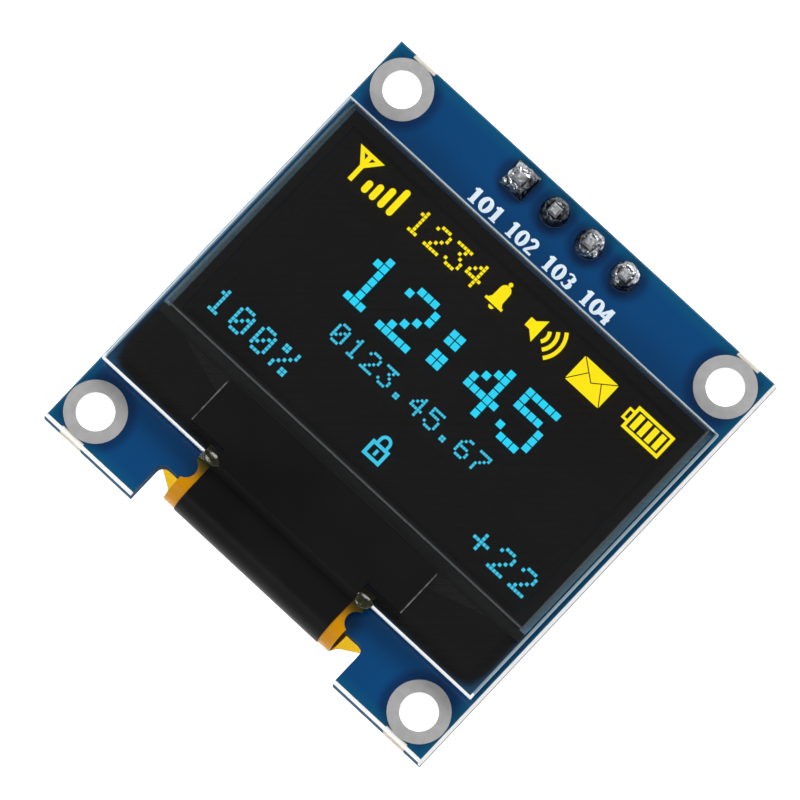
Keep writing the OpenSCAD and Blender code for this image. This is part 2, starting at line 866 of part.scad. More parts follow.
circuit_board();
for (i = [1:HOLE_COUNT])
    hole_ring(i);
for (i = [1:PIN_COUNT])
    header_pad(i);
for (i = [1:PIN_COUNT])
    header_pin(i);
for (i = [1:PIN_COUNT])
    solder_joint(i);
header_body();
front_glass();
rear_glass();
panel_seal();
emitter_stack();
desiccant_sheet();
polariser();
driver_chip();
bonding_film();
flex_circuit();
light_shield_tape();
edge_resin();
mounting_tape();
ledge_pad(-1);  // ledge_pad_left
ledge_pad(1);  // ledge_pad_right
flex_pads();
flex_solder();
for (i = [1:CHIP_COUNT])
    resistor(i);
resistor_ends();
for (i = [1:CHIP_COUNT])
    capacitor(i);
capacitor_ends();
regulator_body();
regulator_leads();
diode_body();
diode_leads();
chip_pads();
chip_solder();
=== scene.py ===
# %% [markdown]
# # A small OLED module
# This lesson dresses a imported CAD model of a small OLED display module. The
# frame brings every solid in metres, in the same frame as the CAD: +X to the
# right, +Y towards the pin header and +Z out of the display. The solids keep
# their shape and get real finishes. Only what a solid can't show well is made
# here: the lit display, the solder, the printed pin numbers and the floor.

# %% Load the frame
import math

import bmesh
import bpy
from mathutils import Matrix, Vector, noise


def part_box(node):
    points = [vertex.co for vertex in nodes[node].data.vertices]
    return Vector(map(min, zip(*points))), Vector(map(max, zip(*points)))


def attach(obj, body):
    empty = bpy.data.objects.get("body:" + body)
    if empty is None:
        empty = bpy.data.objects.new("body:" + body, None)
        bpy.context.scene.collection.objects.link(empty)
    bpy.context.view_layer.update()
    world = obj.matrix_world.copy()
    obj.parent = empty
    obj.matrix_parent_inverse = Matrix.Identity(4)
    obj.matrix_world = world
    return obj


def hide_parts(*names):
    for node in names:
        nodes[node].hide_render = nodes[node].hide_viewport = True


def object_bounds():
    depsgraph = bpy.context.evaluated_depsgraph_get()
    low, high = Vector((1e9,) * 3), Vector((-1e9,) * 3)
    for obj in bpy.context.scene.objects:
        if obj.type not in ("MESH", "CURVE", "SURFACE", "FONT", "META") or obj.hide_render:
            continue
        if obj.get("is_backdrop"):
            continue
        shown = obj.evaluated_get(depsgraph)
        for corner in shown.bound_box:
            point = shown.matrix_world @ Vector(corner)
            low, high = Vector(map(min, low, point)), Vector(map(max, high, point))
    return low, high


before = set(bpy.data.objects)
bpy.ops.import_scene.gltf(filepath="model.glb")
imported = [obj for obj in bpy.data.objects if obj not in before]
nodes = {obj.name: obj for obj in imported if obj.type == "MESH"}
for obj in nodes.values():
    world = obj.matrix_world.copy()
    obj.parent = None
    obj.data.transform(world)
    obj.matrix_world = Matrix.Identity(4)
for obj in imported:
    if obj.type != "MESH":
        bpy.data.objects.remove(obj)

cad_low, cad_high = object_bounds()
MM = 0.001
print("solids loaded:", len(nodes))
print("size in mm:", [round((high - low) / MM, 2) for low, high in zip(cad_low, cad_high)])

# %% [markdown]
# ## Helpers for materials
# A material is a small network of nodes. Colours are given as sRGB hex
# values, but Blender calculates with linear light, so one function turns a hex
# value to linear. One function adds a node with its settings and links, which
# keeps each material short enough to read. The others make a pattern, measure a
# place on the surface, or give a material to solids.

# %% Colour and node helpers
def colour(hex_value):
    """A linear RGBA colour from an sRGB hex value such as "1b1a1a"."""
    parts = [int(hex_value[i:i + 2], 16) / 255 for i in (0, 2, 4)]
    linear = [p / 12.92 if p <= 0.04045 else ((p + 0.055) / 1.055) ** 2.4 for p in parts]
    return (*linear, 1.0)


def add(tree, kind, settings=None, **inputs):
    """Adds a node. An input is named in0, in1 ... by its place, or by its name with
    _ for a space, and is given a value or another node's output to link to."""
    node = tree.nodes.new(kind)
    for name, value in (settings or {}).items():
        setattr(node, name, value)
    for name, value in inputs.items():
        place = name[2:] if name.startswith("in") and name[2:].isdigit() else None
        socket = node.inputs[int(place) if place else name.replace("_", " ")]
        if isinstance(value, bpy.types.NodeSocket):
            tree.links.new(value, socket)
        else:
            socket.default_value = value
    return node


def new_material(name):
    """An empty material and its node tree."""
    material = bpy.data.materials.new(name)
    material.use_nodes = True
    material.node_tree.nodes.clear()
    return material, material.node_tree


def finish_material(tree, **inputs):
    """Ends a material with one Principled shader that has these inputs."""
    shader = add(tree, "ShaderNodeBsdfPrincipled", **inputs)
    add(tree, "ShaderNodeOutputMaterial", Surface=shader.outputs[0])
    return shader


def blotches(tree, size, first, second, detail=2.0):
    """A colour that drifts between two others in cloudy patches of about this size."""
    place = add(tree, "ShaderNodeTexCoord").outputs["Object"]
    cloud = add(tree, "ShaderNodeTexNoise", Vector=place, Scale=1 / size, Detail=detail)
    spread = add(tree, "ShaderNodeMapRange", Value=cloud.outputs[0], From_Min=0.35, From_Max=0.65)
    mix = add(tree, "ShaderNodeMix", {"data_type": "RGBA"},
              in0=spread.outputs[0], in6=colour(first), in7=colour(second))
    return mix.outputs[2]


def grain(tree, size, strength):
    """A fine bump of this grain size, for the Normal input of a shader."""
    place = add(tree, "ShaderNodeTexCoord").outputs["Object"]
    rough = add(tree, "ShaderNodeTexNoise", Vector=place, Scale=1 / size, Detail=3.0)
    bump = add(tree, "ShaderNodeBump", Strength=strength, Distance=size * 0.3,
               Height=rough.outputs[0])
    return bump.outputs[0]


def rim_distance(tree, low, high):
    """Distance in from the outline of a rectangle, at each point of the surface."""
    place = add(tree, "ShaderNodeTexCoord").outputs["Object"]
    moved = add(tree, "ShaderNodeVectorMath", {"operation": "SUBTRACT"},
                in0=place, in1=(low + high) / 2)
    away = add(tree, "ShaderNodeVectorMath", {"operation": "ABSOLUTE"}, in0=moved.outputs[0])
    inside = add(tree, "ShaderNodeVectorMath", {"operation": "SUBTRACT"},
                 in0=(high - low) / 2, in1=away.outputs[0])
    parts = add(tree, "ShaderNodeSeparateXYZ", Vector=inside.outputs[0])
    return add(tree, "ShaderNodeMath", {"operation": "MINIMUM"},
               in0=parts.outputs[0], in1=parts.outputs[1]).outputs[0]


def coordinates(tree):
    """The x, y and z of each point of the surface, as three outputs."""
    place = add(tree, "ShaderNodeTexCoord").outputs["Object"]
    return add(tree, "ShaderNodeSeparateXYZ", Vector=place).outputs


def steepness(tree):
    """0 on a level face and 1 on an upright one."""
    normal = add(tree, "ShaderNodeNewGeometry").outputs["Normal"]
    upward = add(tree, "ShaderNodeSeparateXYZ", Vector=normal).outputs[2]
    level = add(tree, "ShaderNodeMath", {"operation": "ABSOLUTE"}, in0=upward)
    steep = add(tree, "ShaderNodeMath", {"operation": "LESS_THAN"}, in0=level.outputs[0], in1=0.7)
    return steep.outputs[0]


def dress(material, *names):
    """Gives a material to the CAD solids of these names, with or without a number."""
    dressed = [n for n in nodes if any(
        n == name or n.startswith(name + "_") and n[len(name) + 1:].isdigit() for name in names)]
    for n in dressed:
        if nodes[n].material_slots:
            for slot in nodes[n].material_slots:
                slot.material = material
        else:
            nodes[n].data.materials.append(material)
    print(f"{material.name}: {len(dressed)} solid(s)")


def plain_finish(name, solids, size, tones, bump=None, **inputs):
    """Makes a material whose two tones drift into each other, and gives it to solids.
    The size of the patches is in mm, and bump is a grain's size in mm and strength."""
    material, tree = new_material(name)
    inputs["Base_Color"] = blotches(tree, size * MM, *tones)
    if bump:
        inputs["Normal"] = grain(tree, bump[0] * MM, bump[1])
    finish_material(tree, **inputs)
    dress(material, *solids)

# %% [markdown]
# ## Places that the finishes need
# Some finishes follow the object, such as the darker ring in the lacquer round
# each screw hole, partly bare of copper and partly painted shade. Their places
# are measured on the solids, so that they stay right when the CAD model changes.

# %% Measure the solids
def middle(name):
    low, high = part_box(name)
    return (low + high) / 2


board_low, board_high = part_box("circuit_board")
glass_low, glass_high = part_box("front_glass")
polariser_low, polariser_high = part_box("polariser")
flex_front_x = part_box("edge_resin")[1].x
tape_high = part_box("light_shield_tape")[1]
ledge_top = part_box("rear_glass")[0].y
hole_spots = [middle(f"hole_ring_{i}") for i in range(1, 5)]
pin_spots = [middle(f"header_pin_{i}") for i in range(1, 5)]
ring_r = (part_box("hole_ring_1")[1].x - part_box("hole_ring_1")[0].x) / 2
pad_r = (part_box("header_pad_2")[1].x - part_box("header_pad_2")[0].x) / 2
# Two sizes that no box of a solid gives: the score's floor and half the tape's stem
SCORE_Z = board_high.z - 0.6 * MM
STEM_X = 5.2 * MM
print("ring radius", round(ring_r / MM, 3), "pad radius", round(pad_r / MM, 3))

# %% [markdown]
# ## Circuit board: blue solder mask on glass epoxy
# The board is a plate of woven glass in epoxy. Both faces have a copper pour
# under a glossy blue lacquer, the solder mask, which is printed and cured. Round
# the holes and pads the mask is darker, partly where the copper stops and partly
# as painted shade. The sides were routed first and coated too, but the score
# was cut later and shows white laminate. One material does it all: each point's
# place on the board picks its colour, and the way it faces its roughness.

# %% Solder mask material
mask, tree = new_material("blue_solder_mask")
place = add(tree, "ShaderNodeTexCoord").outputs["Object"]
flat = add(tree, "ShaderNodeVectorMath", {"operation": "MULTIPLY"}, in0=place, in1=(1, 1, 0))
# Distance to the nearest ring or pad edge, over all eight of them
nearest = None
for spot, radius in [(s, ring_r) for s in hole_spots] + [(s, pad_r) for s in pin_spots]:
    gap = add(tree, "ShaderNodeVectorMath", {"operation": "DISTANCE"},
              in0=flat.outputs[0], in1=(spot.x, spot.y, 0))
    edge = add(tree, "ShaderNodeMath", {"operation": "SUBTRACT"}, in0=gap.outputs["Value"], in1=radius)
    nearest = edge.outputs[0] if nearest is None else add(
        tree, "ShaderNodeMath", {"operation": "MINIMUM"}, in0=nearest, in1=edge.outputs[0]).outputs[0]
# Painted shade: a dark halo round each ring and pad, partly where the copper stops
clearance_and_shade = add(tree, "ShaderNodeMapRange", {"interpolation_type": "SMOOTHSTEP"}, Value=nearest,
           From_Min=0.2 * MM, From_Max=0.75 * MM, To_Min=0.75, To_Max=0.0)
poured_with_shade = add(tree, "ShaderNodeMix", {"data_type": "RGBA"}, in0=clearance_and_shade.outputs[0],
             in6=blotches(tree, 9 * MM, "004175", "00457b"), in7=colour("002650"))
# The lacquer thins and turns teal along the outline of the board
margin = rim_distance(tree, board_low, board_high)
thin = add(tree, "ShaderNodeMapRange", {"interpolation_type": "SMOOTHSTEP"}, Value=margin,
           From_Min=0.1 * MM, From_Max=1.0 * MM, To_Min=0.55, To_Max=0.0)
blue_face = add(tree, "ShaderNodeMix", {"data_type": "RGBA"},
                in0=thin.outputs[0], in6=poured_with_shade.outputs[2], in7=colour("005a78"))
# Bare patches lie beside each ring, where the opening of the lacquer meets an end
x, y, z = coordinates(tree)
far_x = add(tree, "ShaderNodeMath", {"operation": "ABSOLUTE"}, in0=x)
off_hole = add(tree, "ShaderNodeMath", {"operation": "SUBTRACT"},
               in0=far_x.outputs[0], in1=hole_spots[1].x)
off_hole = add(tree, "ShaderNodeMath", {"operation": "ABSOLUTE"}, in0=off_hole.outputs[0])
PATCH_HALF, PATCH_DEEP = 0.75 * MM, 0.3 * MM
by_ring = add(tree, "ShaderNodeMath", {"operation": "LESS_THAN"},
              in0=off_hole.outputs[0], in1=PATCH_HALF)
near_end = add(tree, "ShaderNodeMath", {"operation": "LESS_THAN"}, in0=margin, in1=PATCH_DEEP)
sliver = add(tree, "ShaderNodeMath", {"operation": "MULTIPLY"},
             in0=near_end.outputs[0], in1=by_ring.outputs[0])
face = add(tree, "ShaderNodeMix", {"data_type": "RGBA"},
           in0=sliver.outputs[0], in6=blue_face.outputs[2], in7=colour("d8d4c6"))
# At the foot and on the right the score was cut after the lacquer, so its slope
# shows white laminate, and at the foot a strip of the face shows it too
foot_strip = add(tree, "ShaderNodeMath", {"operation": "LESS_THAN"}, in0=y, in1=board_low.y + 0.22 * MM)
at_right = add(tree, "ShaderNodeMath", {"operation": "GREATER_THAN"},
               in0=x, in1=board_high.x - 0.12 * MM)
white_zone = add(tree, "ShaderNodeMath", {"operation": "MAXIMUM"},
                 in0=foot_strip.outputs[0], in1=at_right.outputs[0])
# Below the score a duller coat covers the routed sides, apart from the right, and
# the back. It is bare beside the rings, in patches on the sides and, since only x
# bounds the bare part, in a strip from hole to hole across the back
low_down = add(tree, "ShaderNodeMath", {"operation": "LESS_THAN"}, in0=z, in1=SCORE_Z + 0.15 * MM)
coated = add(tree, "ShaderNodeMath", {"operation": "SUBTRACT"},
             in0=low_down.outputs[0], in1=at_right.outputs[0])
coat = add(tree, "ShaderNodeMix", {"data_type": "RGBA"}, in0=by_ring.outputs[0],
           in6=colour("08486c"), in7=blotches(tree, 0.4 * MM, "b9ae92", "e4dfd2"))
board_colour = add(tree, "ShaderNodeMix", {"data_type": "RGBA"}, in0=white_zone.outputs[0],
                   in6=face.outputs[2], in7=blotches(tree, 0.8 * MM, "ffffff", "fafaf8"))
board_colour = add(tree, "ShaderNodeMix", {"data_type": "RGBA"}, in0=coated.outputs[0],
                   in6=board_colour.outputs[2], in7=coat.outputs[2])
# A thin grey line of painted shade runs along the bottom of the right side
right_foot_shade = add(tree, "ShaderNodeMath", {"operation": "LESS_THAN"}, in0=z, in1=0.6 * MM)
right_foot_shade = add(tree, "ShaderNodeMath", {"operation": "MULTIPLY"},
                in0=right_foot_shade.outputs[0], in1=at_right.outputs[0])
board_colour = add(tree, "ShaderNodeMix", {"data_type": "RGBA"}, in0=right_foot_shade.outputs[0],
                   in6=board_colour.outputs[2], in7=colour("7d8585"))
on_side = steepness(tree)
board_rough = add(tree, "ShaderNodeMapRange", Value=on_side, To_Min=0.16, To_Max=1.0)
finish_material(tree, Base_Color=board_colour.outputs[2], Roughness=board_rough.outputs[0],
                IOR=1.5, Normal=grain(tree, 0.6 * MM, 0.03))
dress(mask, "circuit_board")

# %% [markdown]
# ## Metals of the board
# The rings and pads are copper coated with tin in a hot bath and levelled with
# air, which gives a soft grey metal. The header pins are brass with a thin gold
# plating. Solder is a tin alloy that froze from a bright liquid, so it is the
# smoothest metal here. A metal takes its look from its colour and roughness.

# %% Metal materials
tinned, tree = new_material("hot_air_levelled_tin")
x, y, z = coordinates(tree)
below = add(tree, "ShaderNodeMath", {"operation": "LESS_THAN"}, in0=z, in1=board_high.z - 0.02 * MM)
# The walls of the plated holes are paler than the lands
in_hole = add(tree, "ShaderNodeMath", {"operation": "MULTIPLY"},
              in0=below.outputs[0], in1=steepness(tree))
tin = add(tree, "ShaderNodeMix", {"data_type": "RGBA"}, in0=in_hole.outputs[0],
          in6=blotches(tree, 0.5 * MM, "b9b8b8", "c0bfbf"), in7=colour("f7f7f7"))
finish_material(tree, Base_Color=tin.outputs[2], Metallic=1.0,
                Roughness=0.75, Normal=grain(tree, 0.12 * MM, 0.12))
dress(tinned, "hole_ring", "header_pad", "flex_pads", "chip_pads")

gold, tree = new_material("gold_plated_brass")
# Solder wetted the short end of each pin that stands out of the board
x, y, z = coordinates(tree)
wetted = add(tree, "ShaderNodeMath", {"operation": "GREATER_THAN"}, in0=z, in1=board_high.z)
pin_colour = add(tree, "ShaderNodeMix", {"data_type": "RGBA"}, in0=wetted.outputs[0],
                 in6=blotches(tree, 0.8 * MM, "e2bd6a", "d8b05a"),
                 in7=blotches(tree, 0.2 * MM, "808286", "c6c8cb"))
bumps = add(tree, "ShaderNodeMapRange", Value=wetted.outputs[0], To_Min=0.06, To_Max=0.8)
pin_rough = add(tree, "ShaderNodeMapRange", Value=wetted.outputs[0], To_Min=0.2, To_Max=0.5)
finish_material(tree, Base_Color=pin_colour.outputs[2], Metallic=1.0,
                Roughness=pin_rough.outputs[0], Normal=grain(tree, 0.14 * MM, bumps.outputs[0]))
dress(gold, "header_pin")

solder, tree = new_material("reflowed_solder")
# Flux left on it dulls some patches, which a wide and slow noise chooses. The
# dark tones are also painted reflection of the dark board round the joints, and
# the fine dark and bright patches are painted glints
place = add(tree, "ShaderNodeTexCoord").outputs["Object"]
cloud = add(tree, "ShaderNodeTexNoise", Vector=place, Scale=1 / (1.9 * MM), Detail=1.0)
flux_and_dark_reflection = add(tree, "ShaderNodeMapRange", Value=cloud.outputs[0], From_Min=0.42, From_Max=0.6)
# The second joint kept most of its flux, and its neighbours some
second = Vector((pin_spots[1].x, pin_spots[1].y, board_high.z))
kept = add(tree, "ShaderNodeVectorMath", {"operation": "DISTANCE"}, in0=place, in1=second)
kept = add(tree, "ShaderNodeMapRange", Value=kept.outputs["Value"],
           From_Min=0.9 * MM, From_Max=3.2 * MM, To_Min=1.0, To_Max=0.0)
flux_and_dark_reflection = add(tree, "ShaderNodeMath", {"operation": "MAXIMUM"}, in0=flux_and_dark_reflection.outputs[0], in1=kept.outputs[0])
solder_with_painted_reflection = add(tree, "ShaderNodeMix", {"data_type": "RGBA"}, in0=flux_and_dark_reflection.outputs[0],
               in6=blotches(tree, 0.22 * MM, "54575c", "d6d8dc"),
               in7=blotches(tree, 0.2 * MM, "15181c", "54575c"))
finish_material(tree, Base_Color=solder_with_painted_reflection.outputs[2], Metallic=1.0,
                Roughness=0.1, Normal=grain(tree, 0.17 * MM, 0.85))
dress(solder, "flex_solder", "chip_solder", "solder_joint")

plain_finish("matt_tin_plating", ["resistor_ends", "capacitor_ends", "regulator_leads", "diode_leads"],
             0.3, ("c9cacc", "bdbec2"), bump=(0.08, 0.1), Metallic=1.0, Roughness=0.4)

# %% [markdown]
# ## Mouldings and chip parts
# The header's insulator is moulded black nylon with a satin skin. The regulator
# and the diode are moulded black epoxy, a little greyer and full of fine glass
# powder. Chip resistors carry a black glaze over a ceramic body, and chip
# capacitors are fired tan ceramic all through.

# %% Moulded and fired materials
plain_finish("moulded_black_nylon", ["header_body"], 0.5, ("19191a", "1f1f20"),
             bump=(0.07, 0.2), Roughness=0.45, IOR=1.53)
plain_finish("moulded_black_epoxy", ["regulator_body", "diode_body"], 0.3, ("262628", "2e2e30"),
             bump=(0.05, 0.3), Roughness=0.6, IOR=1.55)

glaze, tree = new_material("black_resistor_glaze")
normal = add(tree, "ShaderNodeNewGeometry").outputs["Normal"]
downward = add(tree, "ShaderNodeSeparateXYZ", Vector=normal)
on_back = add(tree, "ShaderNodeMath", {"operation": "LESS_THAN"}, in0=downward.outputs[2], in1=-0.5)
glazed = add(tree, "ShaderNodeMix", {"data_type": "RGBA"}, in0=on_back.outputs[0],
             in6=colour("dedcd2"), in7=blotches(tree, 0.4 * MM, "141416", "1c1c1f"))
finish_material(tree, Base_Color=glazed.outputs[2], Roughness=0.3, IOR=1.52)
dress(glaze, "resistor")

plain_finish("fired_tan_ceramic", ["capacitor"], 0.3, ("a8835a", "b89468"),
             bump=(0.06, 0.15), Roughness=0.5, IOR=1.7)

# %% [markdown]
# ## Glass of the display
# The front glass is thin float glass, scribed and snapped, so its rim is
# frosted while its faces are clear, and a painted highlight makes the rim
# brighter still. A clear face lets nearly all light pass, which the Principled
# shader does with a low alpha. The rim band is measured from the outline, as
# broad as the chips that snapping leaves.

# %% Glass materials
glass, tree = new_material("snapped_float_glass")
rim = add(tree, "ShaderNodeMapRange", Value=rim_distance(tree, glass_low, glass_high),
          From_Min=0.09 * MM, From_Max=0.13 * MM, To_Min=1.0, To_Max=0.0)
# The bright rim is partly frost and partly painted highlight: whitest at the
# foot and greyest at the right
x, y, z = coordinates(tree)
foot = add(tree, "ShaderNodeMath", {"operation": "LESS_THAN"}, in0=y, in1=glass_low.y + 0.3 * MM)
right_side = add(tree, "ShaderNodeMath", {"operation": "GREATER_THAN"},
                 in0=x, in1=glass_high.x - 0.3 * MM)
rim_frost_and_highlight = add(tree, "ShaderNodeMix", {"data_type": "RGBA"}, in0=right_side.outputs[0],
               in6=colour("c6dae8"), in7=colour("8499a6"))
rim_frost_and_highlight = add(tree, "ShaderNodeMix", {"data_type": "RGBA"}, in0=foot.outputs[0],
               in6=rim_frost_and_highlight.outputs[2], in7=colour("ffffff"))
glass_colour = add(tree, "ShaderNodeMix", {"data_type": "RGBA"}, in0=rim.outputs[0],
                   in6=colour("1d1d1e"), in7=rim_frost_and_highlight.outputs[2])
# Dark metal tracks on the ledge hold back more light than clear glass does
on_ledge = add(tree, "ShaderNodeMath", {"operation": "LESS_THAN"}, in0=y, in1=ledge_top)
tracks = add(tree, "ShaderNodeMapRange", {"interpolation_type": "SMOOTHSTEP"},
             Value=rim_distance(tree, glass_low, glass_high),
             From_Min=0.3 * MM, From_Max=1.1 * MM, To_Min=0.0, To_Max=0.45)
clear = add(tree, "ShaderNodeMath", {"operation": "MULTIPLY_ADD"},
            in0=on_ledge.outputs[0], in1=tracks.outputs[0], in2=0.15)
glass_alpha = add(tree, "ShaderNodeMapRange", Value=rim.outputs[0],
                  To_Min=clear.outputs[0], To_Max=0.92)
glass_rough = add(tree, "ShaderNodeMapRange", Value=rim.outputs[0], To_Min=0.03, To_Max=0.5)
finish_material(tree, Base_Color=glass_colour.outputs[2], Alpha=glass_alpha.outputs[0],
                Roughness=glass_rough.outputs[0], IOR=1.5)
dress(glass, "front_glass")

plain_finish("etched_rear_glass", ["rear_glass"], 4, ("2c4350", "344d5b"),
             Alpha=0.6, Roughness=0.2, IOR=1.5)

# %% [markdown]
# ## The dark layers in the panel
# Behind the front glass lie the glue frame, the light-emitting layers with
# their metal back, and a drying sheet. The polariser on the front soaks up what
# they reflect, so an unlit panel is nearly black. The glue frame is black where
# the back electrode covers it, and grey-blue in a strip along three edges.

# %% Panel layer materials
seal, tree = new_material("panel_glue_and_electrode")
x, y, z = coordinates(tree)
far_x = add(tree, "ShaderNodeMath", {"operation": "ABSOLUTE"}, in0=x)
beside = add(tree, "ShaderNodeMath", {"operation": "GREATER_THAN"},
             in0=far_x.outputs[0], in1=glass_high.x - 0.66 * MM)
above = add(tree, "ShaderNodeMath", {"operation": "GREATER_THAN"}, in0=y, in1=glass_high.y - 0.28 * MM)
glue = add(tree, "ShaderNodeMix", {"data_type": "RGBA"}, in0=beside.outputs[0],
           in6=colour("0e0e10"), in7=blotches(tree, 3 * MM, "6f9cb4", "7ca5b8"))
uncovered = add(tree, "ShaderNodeMath", {"operation": "LESS_THAN"}, in0=y, in1=polariser_low.y)
glue = add(tree, "ShaderNodeMix", {"data_type": "RGBA"}, in0=uncovered.outputs[0],
           in6=glue.outputs[2], in7=colour("262728"))
glue = add(tree, "ShaderNodeMix", {"data_type": "RGBA"}, in0=above.outputs[0],
           in6=glue.outputs[2], in7=blotches(tree, 2 * MM, "4a86bd", "417aae"))
finish_material(tree, Base_Color=glue.outputs[2], Roughness=0.5)
dress(seal, "panel_seal")

plain_finish("emitting_layers_and_electrode", ["emitter_stack"], 3, ("0c0c0e", "101012"),
             Roughness=0.35)
plain_finish("drying_sheet_paper", ["desiccant_sheet"], 0.6, ("e9e8e2", "f3f2ee"), Roughness=0.9)
plain_finish("ground_silicon", ["driver_chip"], 0.8, ("3a3c42", "45474e"),
             Metallic=0.6, Roughness=0.25)
plain_finish("conductive_bonding_film", ["bonding_film"], 0.3, ("5d5230", "6b5f3a"), Roughness=0.5)

# %% [markdown]
# ## Tapes, resin and the flexible circuit
# The flexible circuit is amber polyimide film over copper. It lets some light
# through, so its thin wings glow where bright floor lies behind them. Black
# polyester tape shields the bare driver chip from light. The pads behind the
# ledge are black foam, and their soft blue outer edge is painted shade that
# fades from the board's blue to black. A bead of clear resin keeps moisture
# from the corner of glass and circuit.

# %% Tape, resin and polyimide materials
flex, tree = new_material("amber_polyimide_film")
x, y, z = coordinates(tree)
# The bonded end looks olive and the free film amber, and the olive runs on below
# the edge of the glass as painted shade. Only y tells them apart, so the tail
# behind the board turns olive too
bonded_and_shaded = add(tree, "ShaderNodeMapRange", {"interpolation_type": "SMOOTHSTEP"}, Value=y,
             From_Min=glass_low.y - 1.9 * MM, From_Max=glass_low.y - 0.2 * MM)
film_colour = add(tree, "ShaderNodeMix", {"data_type": "RGBA"}, in0=bonded_and_shaded.outputs[0],
                  in6=blotches(tree, 1.5 * MM, "cc8800", "d59100"), in7=colour("3f4016"))
# The wings hold no copper, so more light comes through them
outward = add(tree, "ShaderNodeMath", {"operation": "ABSOLUTE"}, in0=x)
on_wing = add(tree, "ShaderNodeMath", {"operation": "GREATER_THAN"},
              in0=outward.outputs[0], in1=flex_front_x)
wing_colour = add(tree, "ShaderNodeMix", {"data_type": "RGBA"}, in0=on_wing.outputs[0],
                  in6=film_colour.outputs[2], in7=colour("f4c528"))
see_through = add(tree, "ShaderNodeMapRange", Value=on_wing.outputs[0], To_Min=0.06, To_Max=0.8)
finish_material(tree, Base_Color=wing_colour.outputs[2], Roughness=0.26, IOR=1.5,
                Specular_IOR_Level=0.2, Transmission_Weight=see_through.outputs[0],
                Normal=grain(tree, 0.4 * MM, 0.05))
dress(flex, "flex_circuit")

shield, tree = new_material("black_polyester_tape")
x, y, z = coordinates(tree)
far_x = add(tree, "ShaderNodeMath", {"operation": "ABSOLUTE"}, in0=x)
# The lighter line along the tape's cut edges is a painted highlight
cut_edge = add(tree, "ShaderNodeMapRange", Value=far_x.outputs[0],
               From_Min=tape_high.x - 0.09 * MM, From_Max=tape_high.x - 0.05 * MM)
tape_with_edge_highlight = add(tree, "ShaderNodeMix", {"data_type": "RGBA"}, in0=cut_edge.outputs[0],
                  in6=blotches(tree, 5 * MM, "121213", "171717"),
                  in7=blotches(tree, 0.5 * MM, "3a3a3a", "767776"))
finish_material(tree, Base_Color=tape_with_edge_highlight.outputs[2], Roughness=0.3, Specular_IOR_Level=0.1,
                IOR=1.45, Normal=grain(tree, 0.8 * MM, 0.02))
dress(shield, "light_shield_tape")

plain_finish("cured_clear_resin", ["edge_resin"], 0.5, ("3d3f1d", "2c2d18"),
             Alpha=0.55, Roughness=0.06, IOR=1.5)

foam, tree = new_material("black_foam_pad")
x, y, z = coordinates(tree)
far_x = add(tree, "ShaderNodeMath", {"operation": "ABSOLUTE"}, in0=x)
to_side = add(tree, "ShaderNodeMath", {"operation": "SUBTRACT"}, in0=glass_high.x, in1=far_x.outputs[0])
to_foot = add(tree, "ShaderNodeMath", {"operation": "SUBTRACT"}, in0=y, in1=glass_low.y)
to_edge = add(tree, "ShaderNodeMath", {"operation": "SMOOTH_MIN"}, in0=to_side.outputs[0],
              in1=to_foot.outputs[0], in2=2.4 * MM)
# Painted shade: each pad fades from the board's blue at its outer edges to black further in
shade_fade = add(tree, "ShaderNodeMapRange", {"interpolation_type": "SMOOTHSTEP"}, Value=to_edge.outputs[0],
            From_Min=-0.1 * MM, From_Max=0.42 * MM)
# The upper inner corner of each pad is a shade paler, up to a slanted line
slant = add(tree, "ShaderNodeMath", {"operation": "MULTIPLY_ADD"}, in0=far_x.outputs[0],
            in1=-0.305, in2=to_foot.outputs[0])
paler = add(tree, "ShaderNodeMath", {"operation": "GREATER_THAN"}, in0=slant.outputs[0], in1=0.5 * MM)
foam_black = add(tree, "ShaderNodeMix", {"data_type": "RGBA"}, in0=paler.outputs[0],
                 in6=colour("0f0f10"), in7=colour("464647"))
foam_with_shade_fade = add(tree, "ShaderNodeMix", {"data_type": "RGBA"}, in0=shade_fade.outputs[0],
                  in6=colour("246390"), in7=foam_black.outputs[2])
finish_material(tree, Base_Color=foam_with_shade_fade.outputs[2], Roughness=0.85)
dress(foam, "ledge_pad_left", "ledge_pad_right")

plain_finish("black_foam_tape", ["mounting_tape"], 0.4, ("141415", "1b1b1c"),
             bump=(0.1, 0.3), Roughness=0.9)

# %% [markdown]
# ## Helpers that make flat closed pieces
# A lit dot, an icon and a printed figure are all thin plates. Each one is an
# outline pushed out into a closed solid, so that it also stands as a mesh. A
# ribbon is a line with a width, and its outline is found by stepping sideways
# from each point of the line.

# %% Flat piece helpers
def slab(mesh, outline, low, high):
    """Adds a closed plate with this outline between two heights."""
    area = sum(a[0] * b[1] - b[0] * a[1] for a, b in zip(outline, outline[1:] + outline[:1]))
    ring = outline if area > 0 else outline[::-1]
    bottom = [mesh.verts.new((x, y, low)) for x, y in ring]
    top = [mesh.verts.new((x, y, high)) for x, y in ring]
    mesh.faces.new(top)
    mesh.faces.new(bottom[::-1])
    for i in range(len(ring)):
        j = (i + 1) % len(ring)
        mesh.faces.new((bottom[i], bottom[j], top[j], top[i]))


